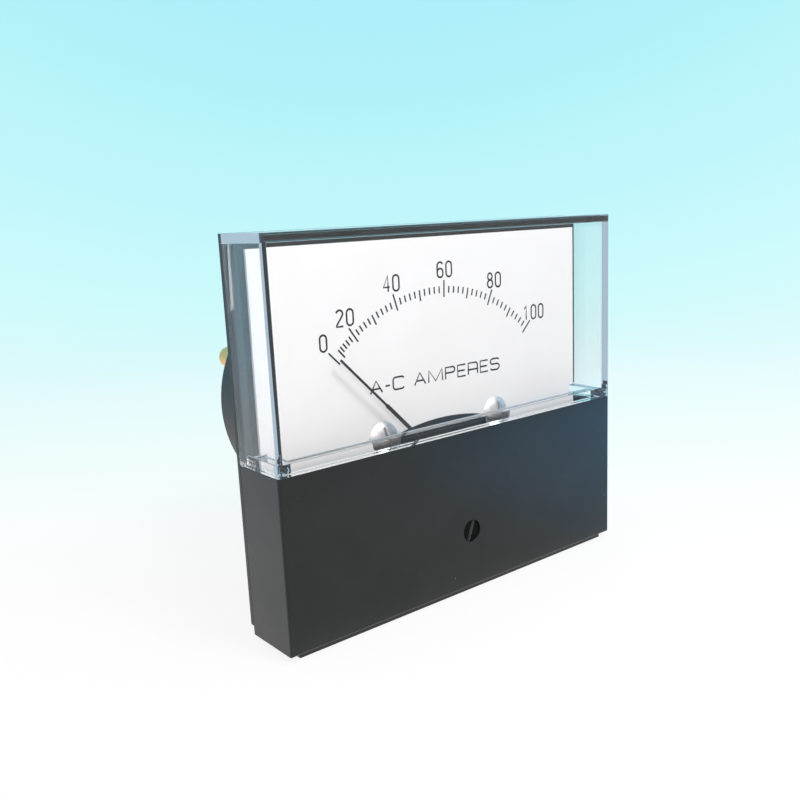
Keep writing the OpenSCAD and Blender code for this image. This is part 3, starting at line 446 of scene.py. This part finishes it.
# Unit: the same pen work in wide letters, over the pointer's pivot. Each letter has its
# own width and stands a set gap from the next.
pen_letters = {
    "A": (0.0038, [[(0, 0), (0.5, 1), (1, 0)], [(0.17, 0.34), (0.83, 0.34)]]),
    "-": (0.00145, [[(0, 0.44), (1, 0.44)]]),
    "C": (0.0036, [bend(0.78, 0.8, 0.22, 0.2, 20, 90, 5)
                   + bend(0.25, 0.75, 0.25, 0.25, 90, 180, 5)
                   + bend(0.25, 0.25, 0.25, 0.25, 180, 270, 5)
                   + bend(0.78, 0.2, 0.22, 0.2, 270, 340, 5)]),
    " ": (0.0014, []),
    "M": (0.005, [[(0, 0), (0.04, 1), (0.5, 0.06), (0.96, 1), (1, 0)]]),
    "P": (0.0034, [[(0, 0), (0, 1)] + bend(0.76, 0.76, 0.24, 0.24, 90, -90)
                   + [(0, 0.52)]]),
    "E": (0.0029, [[(1, 0), (0, 0), (0, 1), (1, 1)], [(0, 0.5), (0.9, 0.5)]]),
    "R": (0.0035, [[(0, 0), (0, 1)] + bend(0.76, 0.74, 0.24, 0.26, 90, 0, 5)
                   + [(1, 0.44), (1, 0)], [(0, 0.42), (1, 0.42)]]),
    "S": (0.0035, [bend(0.74, 0.78, 0.24, 0.22, 25, 90, 4)
                   + bend(0.26, 0.76, 0.26, 0.24, 90, 270)
                   + bend(0.72, 0.26, 0.28, 0.26, 90, -90)
                   + bend(0.26, 0.2, 0.26, 0.2, 270, 200, 4)]),
}
letter_high = 0.0032
letter_gap = 0.00109
letter_weight = 0.00047
unit_centre = (-0.00065, print_y, 0.0112)
words = "A-C AMPERES"
reach = sum(pen_letters[c][0] for c in words) + letter_gap * (len(words) - 1)
left = -reach / 2
strokes = []
for letter in words:
    wide, shapes = pen_letters[letter]
    for stroke in shapes:
        strokes.append([(left + x * wide, (z - 0.5) * letter_high) for x, z in stroke])
    left += wide + letter_gap
draw_strokes("dial_unit", strokes, letter_weight, unit_centre)


# Dial screws: two low domed heads that hold the dial plate, turned, nickel plated and a
# little dulled with handling.
dress(metal("dull_nickel", (0.60, 0.56, 0.55), (0.70, 0.68, 0.67), gloss=0.36, dull=0.48,
            stretch=turned), "dial_screws")


# Pointer: a thin aluminium blade, fixed on the staff and sprayed matt black so that it
# reads clearly against the dial.
dress(enamel("pointer_enamel", (0.004, 0.004, 0.0045), (0.010, 0.010, 0.011), rough=0.6),
      "pointer")


# Front bridge: a strip cut from rolled brass sheet and screwed across the movement. It
# holds the front jewel screw.
dress(metal("sheet_brass", (0.60, 0.43, 0.17), (0.76, 0.58, 0.27), gloss=0.24, dull=0.36,
            stretch=rolled), "front_bridge")


# Zero screw: turned from black rod and left dull. Screwdrivers have rubbed its slot to
# grey along one side.
def rubbed_slot(name, middle, angle, half_wide, rubbed):
    """Dull black plastic, grey along one side of a straight slot across its middle."""
    rub_middle, rub_half = half_wide * 0.6, half_wide * 0.45
    rub_size, shade_size, gloss_size = 0.0009, 0.004, 0.003
    grain_size, grain_deep = 0.0005, 0.00001
    material, tree, shader, place = start_finish(name, Specular_IOR_Level=0.05)
    turned_to = add_node(tree, "Mapping", {
        "Vector": place, "Location": middle, "Rotation": (0, angle, 0)},
        vector_type="TEXTURE")
    across = add_node(tree, "SeparateXYZ", {"Vector": turned_to.outputs[0]}).outputs["X"]
    from_rub = maths(tree, "SUBTRACT", across, rub_middle)
    inside = maths(tree, "LESS_THAN", maths(tree, "ABSOLUTE", from_rub), rub_half)
    patchy = ranged(tree, noise(tree, place, rub_size, 3), 0.45, 1)
    worn = maths(tree, "MULTIPLY", inside, patchy)
    black = shades(tree, noise(tree, place, shade_size, 3), (0.003, 0.004, 0.004),
                   (0.007, 0.009, 0.009))
    tree.links.new(mixed(tree, worn, black, (*rubbed, 1)), shader.inputs["Base Color"])
    tree.links.new(ranged(tree, noise(tree, place, gloss_size, 3), 0.45, 0.6),
                   shader.inputs["Roughness"])
    tree.links.new(bumps(tree, noise(tree, place, grain_size, 2), grain_deep),
                   shader.inputs["Normal"])
    return material


zero_place = Vector(joints["zero_screw_turn"]["pos_m"])
slot_lean, slot_half = math.radians(20), 0.0005
dress(rubbed_slot("zero_screw_black", zero_place, slot_lean, slot_half, (0.19, 0.20, 0.19)),
      "zero_adjust_screw")


# Lower cover: the same black in a bluer, glossier plastic, moulded with square corners
# and a lip underneath. It is handled more, so its gloss is more uneven.
cover_edge = 0.0002
cover_black = moulding("cover_black", (0.0105, 0.0112, 0.0112), (0.0145, 0.0155, 0.0155),
                       gloss=0.24, dull=0.38, dust=0.14)
break_edges("lower_cover", "lower_cover_shell", cover_edge, cover_black)


# Window cover: clear acrylic, moulded in one piece and cemented to the lower cover. Its
# polished walls show bright and dark lines at their edges, from refraction and from a painted
# pale blue glow, and lamps shine through it on to the dial. A thin film of air parts it from
# the black base, so its walls stay clear.
def clear_plastic(name, tint, haze):
    """Clear acrylic with faint smears, which lets the lamps through, and a painted pale blue glow where rays have
    bounced many times inside it.
    """
    smear_size = 0.03
    # The painted glow: after how many glossy bounces it shows, and its colour and strength.
    painted_glow_after_bounces = 3.5
    painted_glow_colour, painted_glow_level = (0.66, 0.84, 1.0, 1), 0.62
    material, tree, shader, place = start_finish(
        name, Base_Color=(*tint, 1), Transmission_Weight=1.0, IOR=1.49)
    rough = ranged(tree, noise(tree, place, smear_size, 4), 0.0, haze)
    tree.links.new(rough, shader.inputs["Roughness"])
    passing = add_node(tree, "BsdfTransparent", {"Color": (*tint, 1)})
    path = add_node(tree, "LightPath", {})
    through = maths(tree, "MAXIMUM", path.outputs["Is Shadow Ray"],
                    path.outputs["Is Diffuse Ray"])
    both = add_node(tree, "MixShader", {
        0: through, 1: shader.outputs[0], 2: passing.outputs[0]})
    # Painted light: rays that keep bouncing inside a wall see a pale blue glow, which shows at its edges.
    painted_glow_mask = maths(tree, "GREATER_THAN", path.outputs["Glossy Depth"], painted_glow_after_bounces)
    painted_edge_glow = add_node(tree, "Emission", {"Color": painted_glow_colour, "Strength": painted_glow_level})
    whole = add_node(tree, "MixShader", {
        0: painted_glow_mask, 1: both.outputs[0], 2: painted_edge_glow.outputs[0]})
    tree.links.new(whole.outputs[0], tree.nodes["Material Output"].inputs["Surface"])
    return material


window_edge, film_thick = 0.00022, 0.00003
acrylic = clear_plastic("clear_acrylic", (0.985, 0.993, 0.996), haze=0.015)
window = break_edges("window_cover", "window_shell", window_edge, acrylic,
                     segments=3)
pick(window)
film = window.modifiers.new("air_film", "DISPLACE")
film.mid_level = 0
film.strength = -film_thick
bpy.ops.object.modifier_apply(modifier="air_film")


# Terminals: brass studs with a washer and a thin nut each, lacquered and gone a little
# pale. The studs' free ends are threaded for a ring lug.
terminal_brass = metal("terminal_brass", (0.84, 0.50, 0.20), (0.96, 0.62, 0.30),
                       gloss=0.32, dull=0.46, stretch=turned)
dress(terminal_brass, "terminal_studs", "terminal_washers", "terminal_nuts")
terminal_pitch = 0.00127
thread_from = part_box("terminal_nuts")[1].y
thread_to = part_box("terminal_studs")[1].y - 0.0006
for side in ("left", "right"):
    mount = mounts["terminal_" + side]
    terminal_r = mount["dims"]["r_mm"] / mm_in_metre
    cut_thread("terminal_thread_" + side, mount["pos_m"][0], mount["pos_m"][2], thread_from,
               thread_to, terminal_r, terminal_pitch, terminal_brass)


# Studio: a round white table that sweeps up into a wall all round. It is seen white in
# front and pale blue-green behind and above, and keeps a little of the meter's shadow. It
# lights the meter as plain white, while the black plastic shows painted reflections: coloured
# cards on the sweep that only gloss sees.
far_blue = (0.30, 0.82, 0.96, 1)


def backdrop_shades(tree, depth_and_height):
    """White, going pale blue-green with depth behind the meter and with height."""
    bluest_at = 1.2
    ramp = add_node(tree, "ValToRGB", {
        "Fac": ranged(tree, depth_and_height, 0, 1, start=0, end=bluest_at)})
    steps = ramp.color_ramp.elements
    steps[0].position = 0.0
    steps[0].color = (1, 1, 1, 1)
    steps[1].position = 1.0
    steps[1].color = far_blue
    for at, colour in ((0.04, (0.97, 1.0, 1.0)), (0.11, (0.875, 1.0, 1.0)),
                       (0.26, (0.77, 0.99, 1.0)), (0.49, (0.58, 0.985, 1.0)),
                       (0.62, (0.49, 0.945, 1.0)), (0.70, (0.45, 0.935, 0.985)),
                       (0.76, (0.40, 0.90, 0.98))):
        steps.new(at).color = (*colour, 1)
    return ramp.outputs["Color"]


def seen_directly(tree):
    """1 for what the camera, gloss and clear plastic see, and 0 for light that spreads."""
    path = add_node(tree, "LightPath", {})
    seen = maths(tree, "MAXIMUM", path.outputs["Is Camera Ray"], path.outputs["Is Glossy Ray"])
    return maths(tree, "MAXIMUM", seen, path.outputs["Is Transmission Ray"])


def sweep_finish(heading, spread_level):
    """The sweep's paper, which shines at its own brightness, keeps a faint shadow and carries painted reflections
    that only gloss sees.
    """
    paper_white = (0.9, 0.9, 0.9, 1)
    # Painted reflections, seen only by gloss: the colours of the cards.
    painted_grey_reflection, painted_blue_reflection = (0.48, 0.51, 0.49, 1), (0.35, 1.42, 2.55, 1)
    painted_dark_reflection, painted_left_reflection = (0.20, 0.20, 0.21, 1), (0.36, 0.8, 1.1, 1)
    shadow_share = 0.14
    material, tree, shader, place = start_finish("sweep_paper_painted_reflections", Base_Color=paper_white,
                                                 Roughness=0.85)
    parts = add_node(tree, "SeparateXYZ", {"Vector": place})
    x, y, z = parts.outputs
    depth = maths(tree, "ADD", maths(tree, "MULTIPLY", x, math.sin(heading)),
                  maths(tree, "MULTIPLY", y, math.cos(heading)))
    height = maths(tree, "SUBTRACT", z, floor_z)
    shown = backdrop_shades(tree, maths(tree, "ADD", maths(tree, "MAXIMUM", depth, 0), height))
    # Painted reflections that only gloss sees: grey to blue across the front, and blue behind on the left.
    gloss = add_node(tree, "LightPath", {}).outputs["Is Glossy Ray"]
    ahead = ranged(tree, y, 1, 0, start=-0.03, end=-0.012)
    behind = maths(tree, "SUBTRACT", 1.0, ahead)
    leftward = ranged(tree, x, 0.8, 0, start=-0.32, end=-0.08)
    rightward = ranged(tree, x, 0, 1, start=0.03, end=0.22)
    close_by = ranged(tree, y, 0, 1, start=-0.18, end=-0.14)
    painted_reflection = mixed(tree, rightward, painted_grey_reflection, painted_blue_reflection)
    painted_reflection = mixed(tree, close_by, painted_dark_reflection, painted_reflection)
    behind_left = maths(tree, "MULTIPLY", behind, leftward)
    shown = mixed(tree, maths(tree, "MULTIPLY", gloss, behind_left), shown, painted_left_reflection)
    shown = mixed(tree, maths(tree, "MULTIPLY", gloss, ahead), shown, painted_reflection)
    direct = seen_directly(tree)
    colour = mixed(tree, direct, (spread_level, spread_level, spread_level, 1), shown)
    glow = add_node(tree, "Emission", {"Color": colour, "Strength": 1.0})
    own_light = maths(tree, "SUBTRACT", 1.0, maths(tree, "MULTIPLY", direct, shadow_share))
    both = add_node(tree, "MixShader", {0: own_light, 1: shader.outputs[0], 2: glow.outputs[0]})
    tree.links.new(both.outputs[0], tree.nodes["Material Output"].inputs["Surface"])
    return material


camera_heading = math.radians(38.64)
floor_z = cad_box[0][2]
table_r, bend_r, wall_high = 0.45, 0.25, 0.30
bend_steps, turn_steps = 16, 128
same_point = 0.00001
sweep_level = 0.62
bpy.ops.object.select_all(action="DESELECT")
bpy.ops.mesh.primitive_plane_add(size=0.01, location=(0, 0, floor_z))
sweep = bpy.context.object
sweep.name = "studio_sweep"
bpy.ops.object.transform_apply(location=True, rotation=True, scale=True)
bpy.ops.object.mode_set(mode="EDIT")
bpy.ops.mesh.select_all(action="SELECT")
bpy.ops.mesh.merge(type="CENTER")
outline = [(0.0, 0.0), (table_r, 0.0)]
for step in range(1, bend_steps + 1):
    turn = math.pi / 2 * step / bend_steps
    outline.append((table_r + bend_r * math.sin(turn), bend_r * (1 - math.cos(turn))))
outline.append((table_r + bend_r, bend_r + wall_high))
for (r, h), (next_r, next_h) in zip(outline, outline[1:]):
    bpy.ops.mesh.extrude_region_move(
        TRANSFORM_OT_translate={"value": (next_r - r, 0, next_h - h)})
bpy.ops.mesh.select_all(action="SELECT")
bpy.ops.mesh.spin(steps=turn_steps, angle=2 * math.pi, center=(0, 0, 0), axis=(0, 0, 1))
bpy.ops.mesh.select_all(action="SELECT")
bpy.ops.mesh.remove_doubles(threshold=same_point)
bpy.ops.mesh.normals_make_consistent(inside=True)
bpy.ops.object.mode_set(mode="OBJECT")
bpy.ops.object.shade_smooth()
sweep.data.materials.append(sweep_finish(camera_heading, sweep_level))


# Camera: close to the meter on its left, a little above it and looking down, and turned
# slightly about its own line of sight.
camera_place = (-0.1536, -0.1821, 0.0536)
lens_mm, nearest_seen = 39.4, 0.01
dip, roll = math.radians(11.87), math.radians(-2.64)
forward = Vector((math.sin(camera_heading) * math.cos(dip),
                  math.cos(camera_heading) * math.cos(dip), -math.sin(dip)))
level = Vector((math.cos(camera_heading), -math.sin(camera_heading), 0))
upright = level.cross(forward)
right = math.cos(roll) * level + math.sin(roll) * upright
up = math.cos(roll) * upright - math.sin(roll) * level
bpy.ops.object.camera_add(location=camera_place)
camera = bpy.context.object
camera.matrix_world = Matrix.Translation(camera.location) @ Matrix((
    right, up, -forward)).transposed().to_4x4()
camera.data.lens = lens_mm
camera.data.clip_start = nearest_seen
bpy.context.scene.camera = camera


# Light: a soft box high in front, which gives the pointer its shadow, a weak warm one on
# the left that gloss doesn't show, and white air over the open top of the sweep.
def soft_box(name, where, target, size, watts, colour):
    """A square lamp at a place, aimed at a target."""
    bpy.ops.object.light_add(type="AREA", location=where)
    lamp = bpy.context.object
    lamp.name = name
    lamp.data.size = size
    lamp.data.energy = watts
    lamp.data.color = colour
    lamp.rotation_euler = (Vector(target) - Vector(where)).to_track_quat("-Z", "Y").to_euler()
    return lamp


soft_box("key_box", where=(0.10, -0.40, 0.50), target=(0, 0, 0), size=0.22, watts=2.15,
         colour=(1.0, 0.99, 0.985))
warm_box = soft_box("warm_box", where=(-0.22, -0.48, 0.16), target=(-0.02, 0, 0), size=0.30,
                    watts=0.85, colour=(1.0, 0.96, 0.94))
warm_box.visible_glossy = False

air_white = (0.8, 0.8, 0.8, 1)
world = bpy.data.worlds.new("studio_air")
bpy.context.scene.world = world
world.use_nodes = True
air = world.node_tree
shown = mixed(air, seen_directly(air), air_white, far_blue)
air.links.new(shown, air.nodes["Background"].inputs["Color"])

bpy.context.scene.view_settings.view_transform = "Standard"
